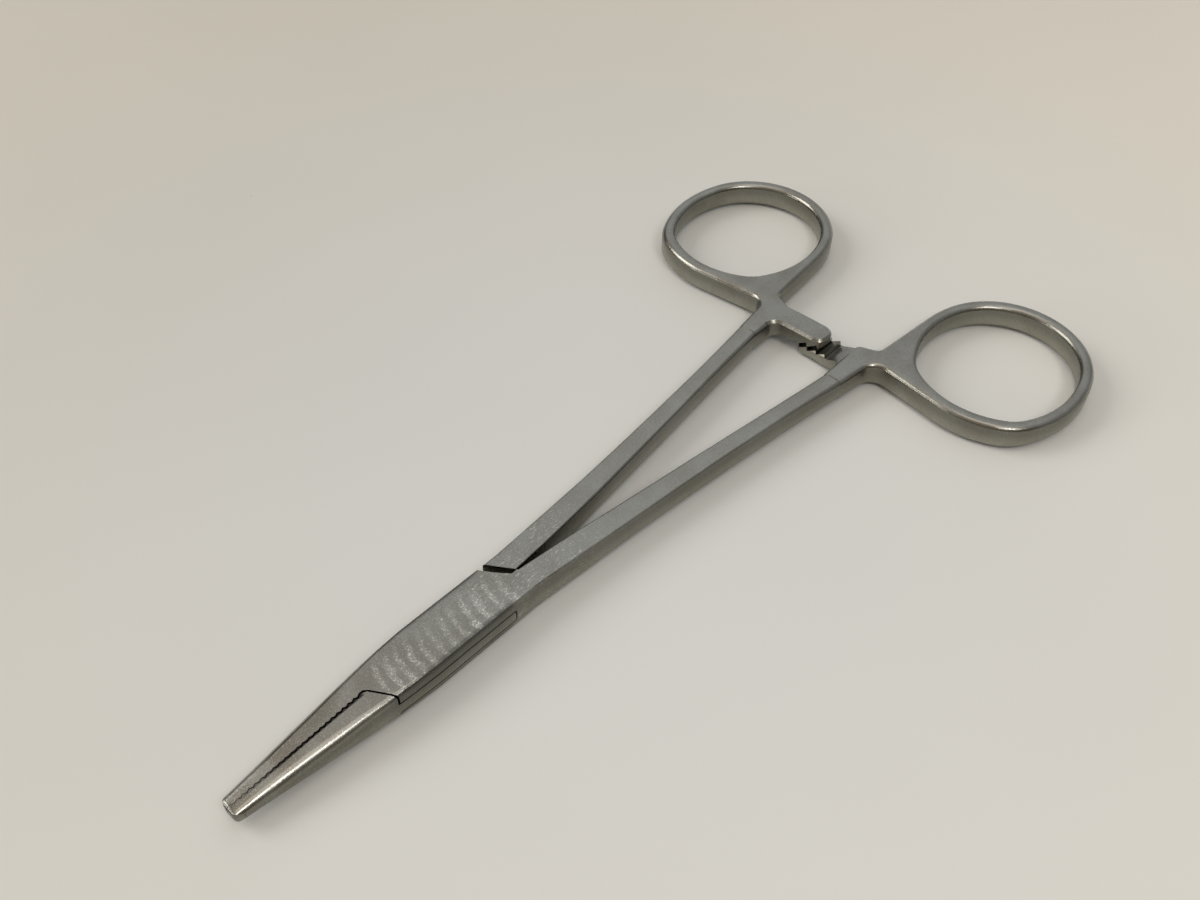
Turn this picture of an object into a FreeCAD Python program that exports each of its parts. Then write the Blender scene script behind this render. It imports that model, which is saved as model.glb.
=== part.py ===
import FreeCAD, Part
import math
import os
from FreeCAD import Vector

# Needle holder with a box lock: the jaws point to -Y, the finger rings to +Y and it lies flat on
# the table at z = 0. Each half is one forging, and a flush pin through the box joins them.
# All outlines are drawn about the pivot and moved to the middle of the part at the end.

# Heights of the instrument lying on the table
thickness = 4.7
mid_z = thickness / 2
shank_thickness = 3.9
ring_thickness = 4.1

# Box, seen from above: half its width and where its seams meet its sides and its middle
box_half_width = 3.8
box_edge_radius = 0.45
jaw_seam_y = 10.0
shank_seam_y = 9.6
shank_seam_bow = 0.42
shank_foot_bow = 0.1
crotch_y = 12.0
slot_end_y = 9.2
slot_corner_radius = 0.35

# Jaws: the width starts to taper at one place and the height at another
tip_y = -32.4
jaw_root_y = -12.4
jaw_taper_y = -4.0
jaw_thinning_y = -8.0
jaw_taper_power = 1.4
jaw_thinning_power = 1.6
jaw_segments = 8
jaw_side_radius = 1.3
jaw_rounding_share = 0.5
tip_half_width = 1.65
tip_half_height = 0.95
tip_corner_radius = 1.2
tip_edge_radius = 0.5

# Bite: cross serrations along a contact line that bows a little to one side
serration_pitch = 0.85
serration_depth = 0.26
serration_start = 0.7
bite_bow = 0.13
jaw_gap_tip = 0.06
jaw_gap_root = 0.27

# Hook of the jaw seam at the root of the bite, and its turn near the side of the box
hook_x = 0.25
hook_rise = 0.45
hook_drop = 0.1
seam_turn = 0.38

# Tongue in its slot through the box
tongue_thickness = 1.75
tongue_drop = 0.375
tongue_low = mid_z - tongue_drop - tongue_thickness / 2
tongue_high = tongue_low + tongue_thickness
tongue_z_clearance = 0.1
tongue_end_clearance = 0.08
shank_seam_gap = 0.88
jaw_seam_gap = 0.3
crotch_gap = 0.2

# Pivot pin, pressed in the box half and running in the tongue
pin_radius = 1.5
pin_running_clearance = 0.03

# Ratchet arms, sectors about the pivot with saw teeth on their facing sides, which slope so that
# each arm is thick at its root and thin at its end
arm_inner_radius = 76.9
arm_width = 4.4
arm_outer_radius = arm_inner_radius + arm_width
arm_reach = 2.35
arm_inset = 1.2
arm_slope = 0.17
arm_bevel = 0.4
arm_corner_radius = 1.9
arm_flare = 1.6
tooth_pitch = 1.7
tooth_depth = 0.75
tooth_face_run = 0.18
tooth_count = 4
tooth_gap = 0.1
first_tooth_x = 3.4
ramp_run = 2.5

# Shanks: both edges of the right one as x, a third and two thirds of the way and at the end,
# which is just short of the arm
shank_past_seam = 0.1
shank_start_y = crotch_y + shank_seam_gap + shank_past_seam
shank_to_arm = 4.9
shank_end_y = arm_inner_radius - shank_to_arm
shank_inner_third = 1.99
shank_inner_two_thirds = 4.36
shank_inner_end = 6.6
shank_outer_third = 5.37
shank_outer_two_thirds = 7.28
shank_outer_end = 9.81
shank_inner_steps = (crotch_gap / 2, shank_inner_third, shank_inner_two_thirds, shank_inner_end)
shank_outer_steps = (box_half_width, shank_outer_third, shank_outer_two_thirds, shank_outer_end)
shank_segments = 10
shank_edge_radius = 0.55
crotch_edge_radius = 0.25
crotch_edge_run = 22.0
shank_thinning_run = 18.0
shank_rounding_run = 20.0

# Finger rings: an egg of tangent arcs drawn on the middle of the bar, slimmer at its sides
ring_x = 24.65
arm_to_ring = 10.2
ring_y = arm_outer_radius + arm_to_ring
ring_half_width = 12.8
ring_widest = 1.5
ring_side_radius = 18.0
ring_corner_radius = 8.0
ring_bottom_radius = 15.0
ring_top_angle = math.radians(19.86)
ring_corner_angle = math.radians(29.85)
ring_bar = 2.3
ring_side_bar = 2.05
ring_edge_radius = 0.95

# Neck, where shank, ring and ratchet arm meet
neck_x = 6.5
neck_run = 3.3
neck_rise = 1.3
neck_radius = 1.4
neck_corner_radius = 1.1
shoulder_run = 0.99
shoulder_rise = 7.45
shoulder_radius = 2.5

# How far cutting shapes reach past the metal, and how near counts as touching
overrun = 3.0
past_tip = 1.0
far = 30.0
touch = 0.01


def point(x, y, z=0.0):
    return Vector(x, y, z)


def line(a, b):
    return Part.LineSegment(a, b).toShape()


def arc(a, b, c):
    return Part.Arc(a, b, c).toShape()


def plate(outline, z0, z1):
    """Solid between two heights over a closed run of plan points."""
    ring = outline + [outline[0]]
    face = Part.Face(Part.makePolygon([point(x, y, z0) for x, y in ring]))
    return face.extrude(point(0, 0, z1 - z0))


def flat_edges(solid, heights):
    """Edges that lie flat at one of the heights."""
    found = []
    for edge in solid.Edges:
        box = edge.BoundBox
        if box.ZLength < 1e-6 and any(abs(box.ZMin - z) < 1e-6 for z in heights):
            found.append(edge)
    return found


def eased(solid, radius, faces, wanted):
    """Level edges rounded in three flats each; faces gives their heights and the way into the metal."""
    first = radius * (2 - math.sqrt(2))
    second = radius * (math.tan(math.pi / 8) - math.tan(math.pi / 16))
    levels = [z for z, into in faces]
    rough = solid.makeChamfer(first, [e for e in flat_edges(solid, levels) if wanted(e)])
    levels += [z + into * first for z, into in faces]
    return rough.makeChamfer(second, [e for e in flat_edges(rough, levels) if wanted(e)])


def eased_section(y, x0, x1, half_height, r0, r1):
    """Upright rectangle across the instrument, each corner rounded in three flats."""
    corners = ((x1 - r1, r1, 1), (x0 + r0, r0, 1), (x0 + r0, r0, -1), (x1 - r1, r1, -1))
    points = []
    for k, (x, radius, up) in enumerate(corners):
        z = mid_z + up * (half_height - radius)
        reach = radius / math.cos(math.pi / 16)
        for j in range(4):
            angle = math.pi / 2 * k + math.pi / 16 + math.pi / 8 * j
            points.append(point(x + reach * math.cos(angle), y, z + reach * math.sin(angle)))
    return Part.makePolygon(points + [points[0]])


def rounded_section(y, x0, x1, half_height, r0, r1):
    """Upright rounded rectangle across the instrument, r0 at its x0 side and r1 at its x1 side."""
    low = mid_z - half_height
    high = mid_z + half_height
    k0 = r0 * (1 - math.sqrt(0.5))
    k1 = r1 * (1 - math.sqrt(0.5))
    edges = []
    edges.append(line(point(x0 + r0, y, low), point(x1 - r1, y, low)))
    edges.append(arc(point(x1 - r1, y, low), point(x1 - k1, y, low + k1), point(x1, y, low + r1)))
    edges.append(line(point(x1, y, low + r1), point(x1, y, high - r1)))
    edges.append(arc(point(x1, y, high - r1), point(x1 - k1, y, high - k1), point(x1 - r1, y, high)))
    edges.append(line(point(x1 - r1, y, high), point(x0 + r0, y, high)))
    edges.append(arc(point(x0 + r0, y, high), point(x0 + k0, y, high - k0), point(x0, y, high - r0)))
    edges.append(line(point(x0, y, high - r0), point(x0, y, low + r0)))
    edges.append(arc(point(x0, y, low + r0), point(x0 + k0, y, low + k0), point(x0 + r0, y, low)))
    return Part.Wire(edges)


def jaw_section(y):
    """Section of the closed jaws, which narrow from the box and thin towards the tip."""
    width_run = max(0.0, (jaw_taper_y - y) / (jaw_taper_y - tip_y))
    height_run = max(0.0, (jaw_thinning_y - y) / (jaw_thinning_y - tip_y))
    half_width = box_half_width - (box_half_width - tip_half_width) * width_run ** jaw_taper_power
    half_height = mid_z - (mid_z - tip_half_height) * height_run ** jaw_thinning_power
    rounding = min(1.0, width_run / jaw_rounding_share)
    radius = box_edge_radius + (jaw_side_radius - box_edge_radius) * rounding
    radius = min(radius, 0.9 * half_height)
    return rounded_section(y, -half_width, half_width, half_height, radius, radius)


def billet():
    """Outer skin shared by the box and both closed jaws, which are ground together."""
    box = Part.makeLoft([jaw_section(shank_start_y), jaw_section(jaw_taper_y)], True, True)
    beyond = tip_y - past_tip
    step = (jaw_taper_y - beyond) / jaw_segments
    stations = [jaw_section(jaw_taper_y - i * step) for i in range(jaw_segments + 1)]
    jaws = Part.makeLoft(stations, True, True)
    return box.fuse(jaws).removeSplitter()


def blunt_end(across, rise, half, radius):
    """Face with one side at the tip whose two corners are rounded, far larger everywhere else."""
    def place(s, y):
        return across * s + point(0, y) + rise
    k = radius * (1 - math.sqrt(0.5))
    edges = [
        line(place(far, far), place(-far, far)),
        line(place(-far, far), place(-far, tip_y + radius)),
        line(place(-far, tip_y + radius), place(-half, tip_y + radius)),
        arc(place(-half, tip_y + radius), place(-half + k, tip_y + k), place(-half + radius, tip_y)),
        line(place(-half + radius, tip_y), place(half - radius, tip_y)),
        arc(place(half - radius, tip_y), place(half - k, tip_y + k), place(half, tip_y + radius)),
        line(place(half, tip_y + radius), place(far, tip_y + radius)),
        line(place(far, tip_y + radius), place(far, far)),
    ]
    return Part.Face(Part.Wire(edges))


def tip_shaper():
    """Everything but what lies beyond the blunt tip, which is rounded in plan and from the side."""
    plan = blunt_end(point(1, 0), point(0, 0, -far), tip_half_width, tip_corner_radius)
    side = blunt_end(point(0, 0, 1), point(-far, 0, mid_z), tip_half_height, tip_edge_radius)
    return plan.extrude(point(0, 0, 2 * far)).common(side.extrude(point(2 * far, 0, 0)))


def serrated_line(offset):
    """Plan points down the contact line from the jaw root to the tip, moved over by a gap."""
    start = jaw_root_y - serration_start
    length = start - tip_y
    count = int(length / serration_pitch)
    points = []
    for i in range(2 * count + 1):
        y = start - i * serration_pitch / 2
        bow = math.sin(math.pi * (start - y) / length)
        opening = math.cos(math.pi / 2 * (start - y) / length)
        gap = jaw_gap_tip + (jaw_gap_root - jaw_gap_tip) * opening
        side = 0.5 if i % 2 else -0.5
        points.append((side * serration_depth + bite_bow * bow + offset * gap, y))
    points.append((points[-1][0], tip_y - overrun))
    return points


def tongue_jaw_region(is_recess):
    """Plan outline, full height, of the jaw of the tongue half or of the recess it closes into."""
    shift = 0.0 if is_recess else jaw_seam_gap
    teeth = serrated_line(-0.5 if is_recess else 0.5)
    outside = box_half_width + overrun
    outline = [(outside, -jaw_seam_y - shift), (box_half_width - seam_turn, -jaw_seam_y - shift)]
    outline += [(hook_x, jaw_root_y + hook_rise - shift), (teeth[0][0], jaw_root_y - hook_drop - shift)]
    outline += teeth + [(outside, tip_y - overrun)]
    return outline


def shank_region(seam_gap, side_gap, bow):
    """Block, full height, past the bowed shank seam on the side of the tongue half's shank."""
    outside = box_half_width + overrun
    slope = (crotch_y - shank_seam_y) / box_half_width
    start = point(-outside, shank_seam_y + seam_gap - slope * overrun, -overrun)
    end = point(-side_gap, crotch_y + seam_gap, -overrun)
    middle = (start + end) * 0.5 - point(0, bow)
    beyond = shank_start_y + 2 * overrun
    far_end = point(-side_gap, beyond, -overrun)
    far_start = point(-outside, beyond, -overrun)
    edges = [arc(start, middle, end), line(end, far_end), line(far_end, far_start), line(far_start, start)]
    return Part.Face(Part.Wire(edges)).extrude(point(0, 0, thickness + 2 * overrun))


def slot_block(end_gap, side_gap, low, high, corner):
    """Block of the tongue inside the box, with slanted ends whose edges are rounded."""
    outside = box_half_width + overrun
    slope = (crotch_y - slot_end_y) / box_half_width
    end_y = slot_end_y - end_gap - slope * overrun
    middle_end_y = crotch_y - end_gap + slope * side_gap
    beyond = shank_start_y + overrun
    outline = [
        (outside, end_y), (outside, jaw_root_y), (side_gap, jaw_root_y), (side_gap, -middle_end_y),
        (-outside, -end_y), (-outside, beyond), (-side_gap, beyond), (-side_gap, middle_end_y),
    ]
    block = plate(outline, low, high)
    ends = []
    for edge in flat_edges(block, (low, high)):
        if edge.BoundBox.XLength > overrun and edge.BoundBox.YLength > touch:
            ends.append(edge)
    return block.makeFillet(corner, ends)


def through(steps, y):
    """Smooth curve through values at equal steps from the start to the end of the shank."""
    last = len(steps) - 1
    t = last * (y - shank_start_y) / (shank_end_y - shank_start_y)
    total = 0.0
    for i, value in enumerate(steps):
        weight = 1.0
        for j in range(len(steps)):
            if j != i:
                weight *= (t - j) / (i - j)
        total += value * weight
    return total


def shank():
    """Right shank: it thins past the box, and near the ring its edges round up to the ring's."""
    length = shank_end_y - shank_start_y
    wires = []
    for i in range(shank_segments + 1):
        run = length * i / shank_segments
        y = shank_start_y + run
        past_box = min(1.0, run / shank_thinning_run)
        near_ring = max(0.0, 1.0 - (length - run) / shank_rounding_run)
        height = thickness + (shank_thickness - thickness) * past_box
        outer_radius = box_edge_radius + (shank_edge_radius - box_edge_radius) * past_box
        outer_radius += (ring_edge_radius - shank_edge_radius) * near_ring
        opening = min(1.0, run / crotch_edge_run)
        inner_radius = crotch_edge_radius + (outer_radius - crotch_edge_radius) * opening
        inner = through(shank_inner_steps, y)
        outer = through(shank_outer_steps, y)
        wires.append(eased_section(y, inner, outer, height / 2, inner_radius, outer_radius))
    return Part.makeLoft(wires, True, True)


def egg(grow, side_grow):
    """Centres, radii and joints of the ring's tangent arcs, grown all round and at its sides."""
    # Each side arc turns up into the top arc, whose centre is on the axis and whose top grows in full
    up = point(math.cos(ring_top_angle), math.sin(ring_top_angle))
    lean = (1 - up.y) / up.x
    half = ring_half_width + side_grow
    side_r = ring_side_radius + (grow - side_grow * lean) / (1 - lean)
    side_c = point(half - side_r, ring_widest)
    top_r = side_r - (side_r - half) / up.x
    top_c = side_c + up * (side_r - top_r)
    # It turns down into a corner arc, which touches the bottom arc from inside
    corner_r = ring_corner_radius + grow
    bottom_r = ring_bottom_radius + grow
    down = point(math.cos(ring_corner_angle), -math.sin(ring_corner_angle))
    corner_c = side_c + down * (side_r - corner_r)
    bottom_rise = math.sqrt((bottom_r - corner_r) ** 2 - corner_c.x ** 2)
    bottom_c = point(0, corner_c.y + bottom_rise)
    return {
        "top": top_c.y + top_r,
        "bottom": bottom_r - bottom_c.y,
        "top_c": top_c,
        "side_c": side_c,
        "side_r": side_r,
        "corner_c": corner_c,
        "bottom_c": bottom_c,
        "bottom_r": bottom_r,
        "top_side": side_c + up * side_r,
        "side_corner": side_c + down * side_r,
        "corner_bottom": corner_c + (corner_c - bottom_c).normalize() * corner_r,
    }


def tangent_point(outside, centre, radius, side):
    """Point where a line from an outside point touches a circle."""
    span = outside - centre
    angle = math.atan2(span.y, span.x) + side * math.acos(radius / span.Length)
    return centre + point(radius * math.cos(angle), radius * math.sin(angle))


def arc_between(centre, start, end):
    """Arc about a centre between two points, the short way round."""
    middle = (start + end) * 0.5 - centre
    radius = (start - centre).Length
    return arc(start, centre + middle.normalize() * radius, end)


def round_corner(before, corner, after, radius):
    """Start, arc and end of a tangent arc that rounds a corner of an outline."""
    a = (before - corner).normalize()
    b = (after - corner).normalize()
    half = math.acos(max(-1.0, min(1.0, a.dot(b)))) / 2
    reach = radius / math.tan(half)
    start = corner + a * reach
    end = corner + b * reach
    centre = corner + (a + b).normalize() * (radius / math.sin(half))
    return start, arc_between(centre, start, end), end


def mirrored(v):
    return point(-v.x, v.y)


def on_arm(radius, x):
    """Point of a circle about the pivot, on the side of the rings."""
    return point(x, math.sqrt(radius ** 2 - x * x))


def handle_outline():
    """Outer outline of the right ring with the end of its shank, seen from above."""
    outer = egg(ring_bar / 2, ring_side_bar / 2)
    at = point(ring_x, ring_y)
    inner_foot = point(through(shank_inner_steps, shank_end_y), shank_end_y)
    outer_foot = point(through(shank_outer_steps, shank_end_y), shank_end_y)
    inner_top = on_arm(arm_outer_radius, neck_x)
    neck = inner_top + point(neck_run, neck_rise)
    shoulder = outer_foot + point(shoulder_run, shoulder_rise)
    side_in = mirrored(outer["side_c"]) + at
    lift = tangent_point(neck, side_in, outer["side_r"], -1)
    bottom_c = outer["bottom_c"] + at
    landing = tangent_point(shoulder, bottom_c, outer["bottom_r"], 1)
    edges = []
    a, bend, b = round_corner(inner_foot, inner_top, neck, neck_corner_radius)
    edges += [line(inner_foot, a), bend]
    c, bend, d = round_corner(inner_top, neck, lift, neck_radius)
    edges += [line(b, c), bend, line(d, lift)]
    top_in = mirrored(outer["top_side"]) + at
    top_out = outer["top_side"] + at
    side_out = outer["side_c"] + at
    corner_start = outer["side_corner"] + at
    corner_end = outer["corner_bottom"] + at
    edges.append(arc_between(side_in, lift, top_in))
    edges.append(arc_between(outer["top_c"] + at, top_in, at + point(0, outer["top"])))
    edges.append(arc_between(outer["top_c"] + at, at + point(0, outer["top"]), top_out))
    edges.append(arc_between(side_out, top_out, corner_start))
    edges.append(arc_between(outer["corner_c"] + at, corner_start, corner_end))
    edges.append(arc_between(bottom_c, corner_end, landing))
    e, bend, f = round_corner(landing, shoulder, outer_foot, shoulder_radius)
    edges += [line(landing, e), bend, line(f, outer_foot), line(outer_foot, inner_foot)]
    return Part.Wire(edges)


def ring_hole():
    """Outline of the finger hole."""
    hole = egg(-ring_bar / 2, -ring_side_bar / 2)
    at = point(ring_x, ring_y)
    edges = []
    for side in (1, -1):
        def place(name):
            return point(side * hole[name].x, hole[name].y) + at
        edges.append(arc_between(place("side_c"), place("top_side"), place("side_corner")))
        edges.append(arc_between(place("corner_c"), place("side_corner"), place("corner_bottom")))
        edges.append(arc_between(place("top_c"), place("top_side"), at + point(0, hole["top"])))
        edges.append(arc_between(place("bottom_c"), place("corner_bottom"), at - point(0, hole["bottom"])))
    return Part.Wire(Part.__sortEdges__(edges))


def arm_plan(z0, z1):
    """Ratchet arm seen from above: it flares into the shank and ends in a rounded end."""
    corner = arm_corner_radius
    k = corner * (1 - math.sqrt(0.5))
    shank_x = through(shank_inner_steps, shank_end_y)
    root_x = shank_x + arm_inset
    flare_top = on_arm(arm_inner_radius, shank_x - arm_flare)
    flare_foot = point(shank_x, flare_top.y - arm_flare)
    flare_middle = flare_top + point(arm_flare * math.sqrt(0.5), -arm_flare * (1 - math.sqrt(0.5)))
    root_foot = point(root_x, flare_foot.y)
    low_corner = on_arm(arm_inner_radius, -arm_reach)
    high_corner = on_arm(arm_outer_radius, -arm_reach)
    low_start = on_arm(arm_inner_radius, -arm_reach + corner)
    high_start = on_arm(arm_outer_radius, -arm_reach + corner)
    root_top = on_arm(arm_outer_radius, root_x)
    low_end = low_corner + point(0, corner)
    high_end = high_corner - point(0, corner)
    edges = [
        line(root_foot, flare_foot),
        arc(flare_foot, flare_middle, flare_top),
        arc(flare_top, on_arm(arm_inner_radius, shank_x / 2), low_start),
        arc(low_start, low_corner + point(k, k), low_end),
        line(low_end, high_end),
        arc(high_end, high_corner + point(k, -k), high_start),
        arc(high_start, on_arm(arm_outer_radius, shank_x / 2), root_top),
        line(root_top, root_foot),
    ]
    face = Part.Face(Part.Wire(edges))
    face.translate(point(0, 0, z0))
    return face.extrude(point(0, 0, z1 - z0))


def ratchet_profile():
    """Side view of the lower arm: saw teeth that face up on a slope, a floor and a ramp to the shank."""
    low = mid_z - ring_thickness / 2
    shank_x = through(shank_inner_steps, shank_end_y)
    ramp_top = mid_z + ring_thickness / 2 - ring_edge_radius

    def crest(x):
        return x, mid_z + arm_slope * x - tooth_gap / 2

    def root(x):
        return x, crest(x)[1] - tooth_depth

    outline = [(-arm_reach - overrun, low), root(-arm_reach - overrun)]
    for i in range(tooth_count):
        x = first_tooth_x - (tooth_count - 1 - i) * tooth_pitch
        outline += [root(x - tooth_pitch + tooth_face_run), crest(x), root(x + tooth_face_run)]
    outline += [root(shank_x - ramp_run), (shank_x, ramp_top), (shank_x + overrun, ramp_top)]
    outline += [(shank_x + overrun, low)]
    points = [point(x, arm_inner_radius - overrun, z) for x, z in outline]
    kept = [points[0]]
    for p in points[1:]:
        if (p - kept[-1]).Length > touch:
            kept.append(p)
    face = Part.Face(Part.makePolygon(kept + [kept[0]]))
    return face.extrude(point(0, arm_width + 2 * overrun, 0))


def handle():
    """Right ring with the end of its shank and the lower ratchet arm."""
    low = mid_z - ring_thickness / 2
    high = mid_z + ring_thickness / 2
    face = Part.Face(handle_outline()).cut(Part.Face(ring_hole()))
    face.translate(point(0, 0, low))
    blank = face.extrude(point(0, 0, ring_thickness)).Solids[0]

    def past_foot(edge):
        return edge.BoundBox.YMax > shank_end_y + touch

    ring = eased(blank, ring_edge_radius, [(low, 1), (high, -1)], past_foot)
    arm = arm_plan(low, high).common(ratchet_profile()).Solids[0]
    root_x = arm.BoundBox.XMax

    edges = [e for e in flat_edges(arm, (low,)) if e.BoundBox.XMin < root_x - arm_inset - touch]
    return ring.fuse(arm.makeChamfer(arm_bevel, edges))


def turned_over(shape):
    """The same shape turned half round the long axis, as the other half is."""
    other = shape.copy()
    other.rotate(point(0, 0, mid_z), point(0, 1, 0), 180)
    return other


def box_half(core, grip):
    """Left jaw, box walls, right shank, ring and lower ratchet arm: one forging."""
    low = tongue_low - tongue_z_clearance
    high = tongue_high + tongue_z_clearance
    body = core.cut(plate(tongue_jaw_region(True), -overrun, thickness + overrun))
    body = body.cut(shank_region(0, -crotch_gap / 2, shank_seam_bow))
    body = body.cut(slot_block(0, 0, low, high, slot_corner_radius + tongue_z_clearance))
    body = body.cut(Part.makeCylinder(pin_radius, thickness + 2 * overrun, point(0, 0, -overrun)))
    return body.fuse([grip]).removeSplitter()


def tongue_half(core, grip):
    """Right jaw, tongue, left shank, ring and upper ratchet arm: one forging."""
    jaw = core.common(plate(tongue_jaw_region(False), -overrun, thickness + overrun))
    root = core.common(shank_region(shank_seam_gap, crotch_gap / 2, shank_foot_bow))
    block = slot_block(tongue_end_clearance, crotch_gap, tongue_low, tongue_high, slot_corner_radius)
    tongue = core.common(block)
    body = jaw.fuse([root, tongue, turned_over(grip)])
    bore_radius = pin_radius + pin_running_clearance
    bore = Part.makeCylinder(bore_radius, thickness + 2 * overrun, point(0, 0, -overrun))
    return body.cut(bore).removeSplitter()


def pivot_pin():
    """Pin pressed through both box walls and finished flush with them."""
    return Part.makeCylinder(pin_radius, thickness)


def main():
    os.makedirs("parts", exist_ok=True)
    core = billet().common(tip_shaper())
    grip = shank().fuse(handle())
    parts = {
        "box_half": box_half(core, grip),
        "tongue_half": tongue_half(core, grip),
        "pivot_pin": pivot_pin(),
    }
    middle_y = (tip_y + ring_y + egg(ring_bar / 2, ring_side_bar / 2)["top"]) / 2
    for name, shape in parts.items():
        if len(shape.Solids) == 1:
            shape = shape.Solids[0]
        shape.translate(point(0, -middle_y))
        shape.exportStep("parts/" + name + ".step")
        print(name, shape.isValid(), len(shape.Solids), round(shape.Volume, 1), shape.BoundBox)


main()
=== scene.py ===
import math

import bpy
from mathutils import Matrix, Vector

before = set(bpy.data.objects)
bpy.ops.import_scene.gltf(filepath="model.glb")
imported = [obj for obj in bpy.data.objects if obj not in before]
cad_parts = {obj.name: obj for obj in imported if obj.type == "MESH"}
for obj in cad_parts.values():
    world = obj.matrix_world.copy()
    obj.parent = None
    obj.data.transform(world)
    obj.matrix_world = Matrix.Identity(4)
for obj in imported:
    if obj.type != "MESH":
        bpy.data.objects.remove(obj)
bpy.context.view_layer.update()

# Camera, in metres: where it stands, where it looks, its upward side and its nearest view
camera_at = Vector((0.072994, -0.088945, 0.129153))
camera_forward = Vector((-0.46500918, 0.50711509, -0.72567262))
camera_up = Vector((-0.50158024, 0.5245257, 0.6879608))
camera_nearest = 0.005

# Camera, in millimetres: its lens and the width of its film
camera_lens = 36.008
film_width = 36

# Table top, in metres: its height, a hair below the instrument, and its reach to each side
table_z = -0.00002
table_half = 2.0

# Places on the instrument, in millimetres like the material's own coordinates
mid_z = 2.35
box_mid_y = -39.1
box_half_length = 11.0

# How far from the middle a point lies on the box's flat faces, in height, and on its sides, in width
flat_from_z = 2.26
side_from_x = 3.5

# Ground bands across the box: where they start and end, how many come to a millimetre,
# how that thins out, their bow, and how far and over what length they wander
band_start_y = -49.6
band_end_y = -27.0
band_phase = 0.34
band_rate = 0.555
band_thinning = -0.00355
band_centre_x = 3.0
band_bow = 22.0
band_wander = 0.8
band_wander_length = 1.6

# Mouth of the tongue's slot in the box side: middle, half length, half height, corner radius,
# and half the width of its line of painted shade, at full strength and at its end;
# the jaw seam cuts it short
jaw_seam_y = -48.05
slot_mid_y = -40.9
slot_mid_z = 1.975
slot_half_length = 12.0
slot_half_height = 0.925
slot_corner_radius = 0.4
slot_line_core = 0.08
slot_line_reach = 0.17

# Bite line between the jaws: its middle, its root, its tip and how far its shade reaches
bite_x = 0.17
bite_root_y = -50.5
bite_tip_y = -70.4
bite_shade_reach = 0.3

# Where each shank's rounded bar meets the flat blank of its ring
blank_y = 33.95
blank_z = 4.0

# Painted highlights on the near ends of the lower arm's teeth: their crest line, depth, reach along the
# arm and brightness
tooth_crest_z = 2.3
tooth_slope = 0.17
tooth_depth = 0.75
tooth_start_x = -0.6
tooth_end_x = 3.6
tooth_near_y = 38.1
tooth_highlight_strength = 2.2

# Blasted finish, in millimetres: sizes of its grain, its specks, which carry painted glints and a little
# relief, and its faint stains
grain_size = 0.16
speck_size = 0.2
stain_size = 5.0

# Scratches: grain drawn out along the instrument, most of it where the shanks leave the box
scratch_stretch = (1, 5, 1)
scratch_mid_y = -23.0

# How much of the steel's light is even, and what grain, bands, painted sparkle and scratches add
even_light = 0.63
grain_light = 0.8
band_light = 0.4
band_sparkle_light = 1.2
scratch_light = 0.7

# Shortest lengths, in metres: how far the shade in a gap reaches, how high the blasted relief stands
# and how near two points lie to be made one
crevice_reach = 0.0005
relief_height = 0.00003
weld_reach = 0.000001

# Steel tones
steel = (0.42, 0.425, 0.415)
steel_stain = (0.375, 0.37, 0.35)
# Warm tint painted on the side walls as a reflection of the warm table
wall_reflection_tint = (1.0, 0.98, 0.88)

# Colour of the lamps
lamp_colour = (1.0, 0.97, 0.90)

# Angle between two faces above which their edge stays crisp
crisp_angle = math.radians(32)


def material(name):
    """New material with an empty node tree."""
    made = bpy.data.materials.new(name)
    made.use_nodes = True
    made.node_tree.nodes.clear()
    return made, made.node_tree


def add(tree, kind, inputs=None, **settings):
    """Node of a kind, with its settings and its inputs set or linked."""
    node = tree.nodes.new(kind)
    for key, value in settings.items():
        setattr(node, key, value)
    for key, value in (inputs or {}).items():
        if isinstance(value, bpy.types.NodeSocket):
            tree.links.new(value, node.inputs[key])
        else:
            node.inputs[key].default_value = value
    return node


def maths(tree, operation, a, b=0.0, c=0.0):
    """Result of one operation on up to three values."""
    return add(tree, "ShaderNodeMath", {0: a, 1: b, 2: c}, operation=operation).outputs[0]


def total(tree, *values):
    """Sum of several values."""
    result = values[0]
    for value in values[1:]:
        result = maths(tree, "ADD", result, value)
    return result


def product(tree, *values):
    """Product of several values."""
    result = values[0]
    for value in values[1:]:
        result = maths(tree, "MULTIPLY", result, value)
    return result


def one_minus(tree, value):
    """One less a value."""
    return maths(tree, "SUBTRACT", 1.0, value)


def apart_from(tree, value, middle):
    """How far a value lies from a middle, on either side of it."""
    return maths(tree, "ABSOLUTE", maths(tree, "SUBTRACT", value, middle))


def spread(tree, value, low, high, to_low=0.0, to_high=1.0):
    """Value carried smoothly from one range to another and held at its ends."""
    inputs = {"Value": value, "From Min": low, "From Max": high, "To Min": to_low, "To Max": to_high}
    node = add(tree, "ShaderNodeMapRange", inputs, interpolation_type="SMOOTHSTEP")
    return node.outputs["Result"]


def fade(tree, value, low, high):
    """One up to a low value, nought from a high value on, and smooth between them."""
    return spread(tree, value, low, high, 1.0, 0.0)


def noise(tree, place, size, detail=2.0, roughness=0.5, stretch=(1, 1, 1)):
    """Noise whose patches have about the given size."""
    inputs = {"Vector": place, "Scale": tuple(1 / (size * s) for s in stretch)}
    mapped = add(tree, "ShaderNodeMapping", inputs)
    inputs = {"Vector": mapped.outputs[0], "Scale": 1.0, "Detail": detail, "Roughness": roughness}
    return add(tree, "ShaderNodeTexNoise", inputs).outputs["Fac"]


def blend(tree, factor, a, b):
    """Colour between two others."""
    return add(tree, "ShaderNodeMix", {0: factor, 6: a, 7: b}, data_type="RGBA").outputs[2]


def blend_value(tree, factor, a, b):
    """Value between two others."""
    return add(tree, "ShaderNodeMix", {0: factor, 2: a, 3: b}, data_type="FLOAT").outputs[0]


def scaled(tree, vector, factor):
    """Colour or place with each of its parts multiplied by a factor."""
    inputs = {0: vector, "Scale": factor}
    return add(tree, "ShaderNodeVectorMath", inputs, operation="SCALE").outputs[0]


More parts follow.
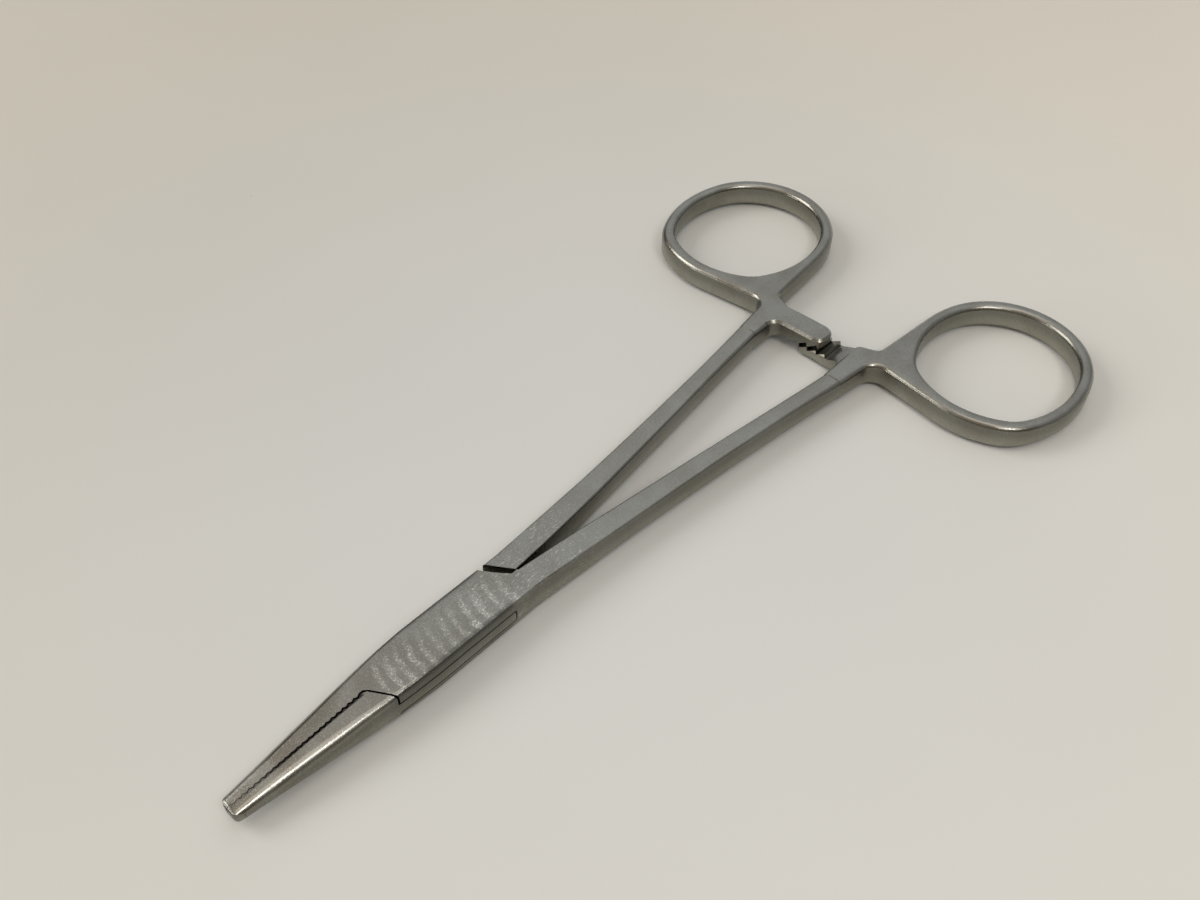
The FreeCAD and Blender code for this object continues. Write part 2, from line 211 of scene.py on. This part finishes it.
def tinted(tree, colour, tint):
    """Colour multiplied by a tint."""
    return add(tree, "ShaderNodeVectorMath", {0: colour, 1: tint}, operation="MULTIPLY").outputs[0]


def millimetres(tree):
    """Object coordinates in millimetres, together and one by one."""
    place = add(tree, "ShaderNodeTexCoord").outputs["Object"]
    place = scaled(tree, place, 1000.0)
    x, y, z = add(tree, "ShaderNodeSeparateXYZ", {0: place}).outputs
    return place, x, y, z


def ground_bands(tree, place, x, y, z):
    """Bright bands across the flat faces of the box, left by grinding, stronger on one side."""
    from_centre = maths(tree, "SUBTRACT", x, band_centre_x)
    bow = maths(tree, "DIVIDE", product(tree, from_centre, from_centre), band_bow)
    bow_at_middle = band_centre_x ** 2 / band_bow
    along = total(tree, maths(tree, "SUBTRACT", y, bow), bow_at_middle - box_mid_y)
    rate = maths(tree, "MULTIPLY_ADD", along, band_thinning, band_rate)
    phase = maths(tree, "MULTIPLY_ADD", along, rate, band_phase)
    stray = maths(tree, "SUBTRACT", noise(tree, place, band_wander_length), 0.5)
    stray = product(tree, stray, band_wander)
    turns = product(tree, total(tree, phase, stray), 2 * math.pi)
    wave = spread(tree, maths(tree, "COSINE", turns), -0.5, 1.0)
    on_top = spread(tree, apart_from(tree, z, mid_z), flat_from_z, flat_from_z + 0.06)
    on_side = spread(tree, x, -3.0, -0.2)
    after_start = spread(tree, y, band_start_y, band_start_y + 1.2)
    before_end = fade(tree, y, band_end_y - 2.5, band_end_y + 0.5)
    strength = product(tree, on_top, on_side, after_start, before_end)
    middle = spread(tree, apart_from(tree, y, box_mid_y), 1.0, 4.0, 0.55, 1.0)
    patchy = spread(tree, noise(tree, place, 1.8), 0.3, 0.62, 0.35, 1.0)
    return product(tree, wave, strength, middle, patchy)


def slot_line(tree, x, y, z):
    """Shade in the thin gap round the slot's mouth: low on the line, one away from it."""
    off_y = maths(tree, "SUBTRACT", apart_from(tree, y, slot_mid_y), slot_half_length - slot_corner_radius)
    off_z = maths(tree, "SUBTRACT", apart_from(tree, z, slot_mid_z), slot_half_height - slot_corner_radius)
    out_y = maths(tree, "MAXIMUM", off_y, 0.0)
    out_z = maths(tree, "MAXIMUM", off_z, 0.0)
    squares = total(tree, product(tree, out_y, out_y), product(tree, out_z, out_z))
    inside = maths(tree, "MINIMUM", maths(tree, "MAXIMUM", off_y, off_z), 0.0)
    reach = total(tree, maths(tree, "SQRT", squares), inside)
    away = apart_from(tree, reach, slot_corner_radius)
    line = fade(tree, away, slot_line_core, slot_line_reach)
    on_side = spread(tree, maths(tree, "ABSOLUTE", x), side_from_x - 0.3, side_from_x)
    on_box = spread(tree, y, jaw_seam_y - 0.1, jaw_seam_y + 0.05)
    depth = spread(tree, z, slot_mid_z - slot_half_height, slot_mid_z, 0.55, 0.97)
    return one_minus(tree, product(tree, line, on_side, on_box, depth))


def bite_shade(tree, x, y, flat):
    """Shade along the serrations of the bite, deepest near their root and lighter on the bite faces."""
    line = fade(tree, apart_from(tree, x, bite_x), bite_shade_reach * 0.4, bite_shade_reach)
    before_root = fade(tree, y, bite_root_y - 0.6, bite_root_y)
    depth = spread(tree, y, bite_tip_y, bite_tip_y + 9.0, 0.2, 0.85)
    on_faces = spread(tree, flat, 0.0, 1.0, 0.5, 1.0)
    return one_minus(tree, product(tree, line, before_root, depth, on_faces))


def box_edge_shade(tree, x, y, z):
    """Painted shade on the box's sides, and more so along the long edges of its top and underside."""
    at_side = spread(tree, maths(tree, "ABSOLUTE", x), side_from_x - 0.55, side_from_x)
    at_top = spread(tree, apart_from(tree, z, mid_z), 1.4, 2.0, 0.3, 1.0)
    on_box = fade(tree, apart_from(tree, y, box_mid_y), box_half_length - 2.2, box_half_length)
    return one_minus(tree, product(tree, at_side, at_top, on_box, 0.5))


def painted_tooth_highlights(tree, x, y, z, facing_y):
    """Painted highlights on the near ends of the ratchet teeth, just under their crests, brighter towards
    the shank.
    """
    crest = total(tree, product(tree, x, tooth_slope), tooth_crest_z)
    below = maths(tree, "SUBTRACT", crest, z)
    in_depth = fade(tree, below, tooth_depth * 0.65, tooth_depth * 0.8)
    along = spread(tree, x, tooth_start_x, tooth_end_x - 1.2)
    before_end = fade(tree, x, tooth_end_x, tooth_end_x + 0.3)
    near = spread(tree, y, tooth_near_y - 0.3, tooth_near_y)
    near_side = spread(tree, facing_y, -0.5, -0.8)
    return product(tree, in_depth, along, before_end, near, near_side)


def finish_and_glint_light(tree, place, y, bands, grain, speck):
    """Light that the fine finish gives back: grain, bands and scratches near the box, with painted glints
    as sparkle, stronger towards the box and the jaws.
    """
    stroke = noise(tree, place, grain_size, 1.0, stretch=scratch_stretch)
    stroke = spread(tree, stroke, 0.6, 0.72)
    near_box = fade(tree, apart_from(tree, y, scratch_mid_y), 4.0, 14.0)
    # Painted glints from the specks, stronger towards the box and the jaws
    speck_light = spread(tree, y, -20.0, -5.0, 0.28, 0.12)
    return total(
        tree,
        product(tree, grain, grain_light),
        even_light,
        product(tree, bands, band_light),
        product(tree, bands, speck, band_sparkle_light),
        product(tree, stroke, near_box, scratch_light),
        product(tree, speck, speck_light),
    )


def form_shade(tree, x, y, z, flat):
    """Shade by form and place: in gaps, on walls, on the slot's line, the bite, the box and the tips."""
    inputs = {"Distance": crevice_reach}
    crevice = add(tree, "ShaderNodeAmbientOcclusion", inputs, samples=6).outputs["AO"]
    gaps = spread(tree, crevice, 0.3, 0.85, 0.08, 1.0)
    # Painted shade on the side walls, darker towards their top
    walls = blend_value(tree, flat, spread(tree, z, 1.0, 3.4, 0.84, 0.5), 1.0)

    # The step where bar and blank meet is kept light, so that it doesn't show as a seam
    near_blank = fade(tree, apart_from(tree, y, blank_y), 0.05, 0.1)
    at_blank = product(tree, near_blank, spread(tree, z, blank_z - 0.1, blank_z + 0.1))
    walls = maths(tree, "MAXIMUM", walls, product(tree, at_blank, 0.8))
    gaps = maths(tree, "MAXIMUM", gaps, product(tree, at_blank, 0.95))

    tip = spread(tree, y, bite_tip_y, bite_tip_y + 0.7, 0.6, 1.0)
    slot = slot_line(tree, x, y, z)
    bite = bite_shade(tree, x, y, flat)
    edges = box_edge_shade(tree, x, y, z)
    return product(tree, gaps, walls, slot, bite, edges, tip)


def satin_steel(name, lower_arm=False):
    """Bead blasted stainless steel: fine grain, faint stains and the bands of the box, with painted
    sparkle, painted shade and, on the lower arm, painted highlights on the tooth ends.
    """
    made, tree = material(name)
    place, x, y, z = millimetres(tree)
    bands = ground_bands(tree, place, x, y, z)
    grain = noise(tree, place, grain_size, 2.0, 0.7)
    speck = spread(tree, noise(tree, place, speck_size, 1.0), 0.54, 0.68)
    cloud = noise(tree, place, stain_size)
    normal = add(tree, "ShaderNodeTexCoord").outputs["Normal"]
    facing = add(tree, "ShaderNodeSeparateXYZ", {0: normal}).outputs
    flat = spread(tree, maths(tree, "ABSOLUTE", facing[2]), 0.42, 0.9)

    light = finish_and_glint_light(tree, place, y, bands, grain, speck)
    light = product(tree, light, form_shade(tree, x, y, z, flat))
    # Painted highlights on the near ends of the lower arm's teeth
    if lower_arm:
        ends = painted_tooth_highlights(tree, x, y, z, facing[1])
        light = maths(tree, "MAXIMUM", light, product(tree, ends, tooth_highlight_strength))

    colour = blend(tree, spread(tree, cloud, 0.36, 0.66), (*steel_stain, 1), (*steel, 1))
    # Painted reflection: the side walls are tinted warm
    colour = blend(tree, flat, tinted(tree, colour, wall_reflection_tint), colour)
    height = total(tree, product(tree, grain, 0.7), product(tree, speck, 0.15))
    bump = add(tree, "ShaderNodeBump", {"Strength": 0.55, "Distance": relief_height, "Height": height})
    inputs = {
        "Base Color": scaled(tree, colour, light),
        "Metallic": 1.0,
        "Roughness": spread(tree, cloud, 0.3, 0.7, 0.22, 0.3),
        "Normal": bump.outputs[0],
    }
    shader = add(tree, "ShaderNodeBsdfPrincipled", inputs)
    add(tree, "ShaderNodeOutputMaterial", {"Surface": shader.outputs[0]})
    return made


def smooth_group():
    """Geometry nodes that smooth a mesh but keep the edges above the crisp angle sharp."""
    tree = bpy.data.node_groups.new("smooth_by_angle", "GeometryNodeTree")
    tree.interface.new_socket("Geometry", in_out="INPUT", socket_type="NodeSocketGeometry")
    tree.interface.new_socket("Geometry", in_out="OUTPUT", socket_type="NodeSocketGeometry")
    source = add(tree, "NodeGroupInput").outputs[0]
    angle = add(tree, "GeometryNodeInputMeshEdgeAngle").outputs[0]
    inputs = {0: angle, 1: crisp_angle}
    sharp = add(tree, "FunctionNodeCompare", inputs, operation="GREATER_THAN").outputs[0]
    inputs = {"Geometry": source, "Shade Smooth": True}
    faces = add(tree, "GeometryNodeSetShadeSmooth", inputs, domain="FACE").outputs[0]
    inputs = {"Geometry": faces, "Selection": sharp, "Shade Smooth": False}
    edges = add(tree, "GeometryNodeSetShadeSmooth", inputs, domain="EDGE").outputs[0]
    add(tree, "NodeGroupOutput", {0: edges})
    return tree


def dress(node, finish, smoothing):
    """Gives a node's own mesh a finish and smooth shading that keeps its crisp edges."""
    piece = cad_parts[node]
    piece.data.materials.clear()
    piece.data.materials.append(finish)
    weld = piece.modifiers.new("weld", "WELD")
    weld.merge_threshold = weld_reach
    smooth = piece.modifiers.new("smooth", "NODES")
    smooth.node_group = smoothing
    normals = piece.modifiers.new("normals", "WEIGHTED_NORMAL")
    normals.keep_sharp = True


def table_paper():
    """Pale matt paper with painted light that makes it lighter to one side, and a few faint specks."""
    made, tree = material("table_paper")
    place, x, y, _ = millimetres(tree)
    # Painted light: the table top grows lighter towards one side
    slope = total(tree, product(tree, x, 0.98), product(tree, y, 0.18))
    tone = spread(tree, slope, -170.0, 100.0, 0.76, 0.99)
    cloud = spread(tree, noise(tree, place, 60.0), 0.3, 0.7, 0.992, 1.008)
    cells = add(tree, "ShaderNodeTexVoronoi", {"Vector": place, "Scale": 0.06})
    spot = fade(tree, cells.outputs["Distance"], 0.008, 0.02)
    chosen = add(tree, "ShaderNodeSeparateColor", {0: cells.outputs["Color"]}).outputs[0]
    speck = product(tree, spot, maths(tree, "GREATER_THAN", chosen, 0.8), 0.12)
    light = product(tree, tone, cloud, one_minus(tree, speck))
    from_middle = add(tree, "ShaderNodeVectorMath", {0: place}, operation="LENGTH").outputs["Value"]
    outward = spread(tree, from_middle, 30.0, 170.0)
    paper = blend(tree, outward, (0.93, 0.955, 0.975, 1), (1.0, 0.975, 0.92, 1))
    fibre = noise(tree, place, 0.8, 3.0, 0.6)
    bump = add(tree, "ShaderNodeBump", {"Strength": 0.04, "Distance": 0.0002, "Height": fibre})
    inputs = {
        "Base Color": scaled(tree, paper, light),
        "Roughness": 0.7,
        "Normal": bump.outputs[0],
    }
    shader = add(tree, "ShaderNodeBsdfPrincipled", inputs)
    add(tree, "ShaderNodeOutputMaterial", {"Surface": shader.outputs[0]})
    return made


def table():
    """Flat table top that runs far past the view."""
    mesh = bpy.data.meshes.new("table_top")
    corners = [(-1, -1), (1, -1), (1, 1), (-1, 1)]
    points = [(a * table_half, b * table_half, table_z) for a, b in corners]
    mesh.from_pydata(points, [], [(0, 1, 2, 3)])
    mesh.materials.append(table_paper())
    top = bpy.data.objects.new("table_top", mesh)
    bpy.context.scene.collection.objects.link(top)


def softbox(name, azimuth, elevation, distance, size, radiance, target=(0, 0, 0)):
    """Square lamp of a given brightness that faces a target from an azimuth and an elevation."""
    lamp = bpy.data.lights.new(name, "AREA")
    lamp.size = size
    lamp.energy = math.pi * size ** 2 * radiance
    lamp.color = lamp_colour
    holder = bpy.data.objects.new(name, lamp)
    turn, rise = math.radians(azimuth), math.radians(elevation)
    level = math.cos(rise)
    away = Vector((level * math.cos(turn), level * math.sin(turn), math.sin(rise)))
    holder.location = Vector(target) + away * distance
    holder.rotation_euler = (-away).to_track_quat("-Z", "Y").to_euler()
    bpy.context.scene.collection.objects.link(holder)


def room():
    """Dim warm surroundings that brighten overhead and darken to the right, in front and behind."""
    world = bpy.data.worlds.new("room")
    world.use_nodes = True
    tree = world.node_tree
    tree.nodes.clear()
    direction = add(tree, "ShaderNodeTexCoord").outputs["Generated"]
    x, y, z = add(tree, "ShaderNodeSeparateXYZ", {0: direction}).outputs
    overhead = spread(tree, z, 0.5, 0.76, 0.38, 0.50)
    low = spread(tree, z, 0.12, 0.42, 1.3, 1.0)
    zenith = spread(tree, z, 0.92, 0.99, 1.0, 2.9)
    sideways = total(tree, product(tree, x, 0.85), product(tree, y, 0.5))
    right = spread(tree, sideways, 0.1, 0.75, 1.0, 0.6)
    left = spread(tree, x, -0.9, -0.7, 0.25, 1.0)
    left = blend_value(tree, spread(tree, z, 0.4, 0.6), left, 1.0)
    front = spread(tree, y, 0.0, 0.55, 0.76, 1.12)
    back = spread(tree, y, 0.6, 0.72, 1.0, 0.9)
    warmth = spread(tree, y, 0.05, 0.35)
    tint = blend(tree, warmth, (1.0, 0.885, 0.735, 1), (0.99, 0.985, 0.935, 1))
    light = product(tree, overhead, zenith, low, right, left, front, back)
    inputs = {"Color": scaled(tree, tint, light), "Strength": 1.0}
    background = add(tree, "ShaderNodeBackground", inputs)
    add(tree, "ShaderNodeOutputWorld", {"Surface": background.outputs[0]})
    bpy.context.scene.world = world


def studio():
    """A large soft lamp in front on the left, and two small ones that draw the bright lines."""
    softbox("front_lamp", -148, 36, distance=1.1, size=0.6, radiance=3.3)
    softbox("jaw_lamp", -8, 56, distance=0.9, size=0.24, radiance=6.8, target=(0, -0.05, 0))
    softbox("ring_lamp", -116, 14, distance=0.9, size=0.14, radiance=9.0, target=(0, 0.05, 0))


def camera():
    """Camera at the place and angle from which the instrument is seen."""
    data = bpy.data.cameras.new("camera")
    data.lens = camera_lens
    data.sensor_width = film_width
    data.sensor_fit = "HORIZONTAL"
    data.clip_start = camera_nearest
    holder = bpy.data.objects.new("camera", data)
    right = camera_forward.cross(camera_up).normalized()
    up = right.cross(camera_forward).normalized()
    turn = Matrix((right, up, -camera_forward.normalized())).transposed()
    holder.matrix_world = Matrix.Translation(camera_at) @ turn.to_4x4()
    bpy.context.scene.collection.objects.link(holder)
    bpy.context.scene.camera = holder


def main():
    """Dresses the three pieces and sets the table, the light and the camera."""
    smoothing = smooth_group()
    dress("box_half", satin_steel("box_half_steel", lower_arm=True), smoothing)
    finish = satin_steel("satin_steel")
    for node in ("tongue_half", "pivot_pin"):
        dress(node, finish, smoothing)
    table()
    room()
    studio()
    camera()
    bpy.context.scene.view_settings.view_transform = "Standard"


main()
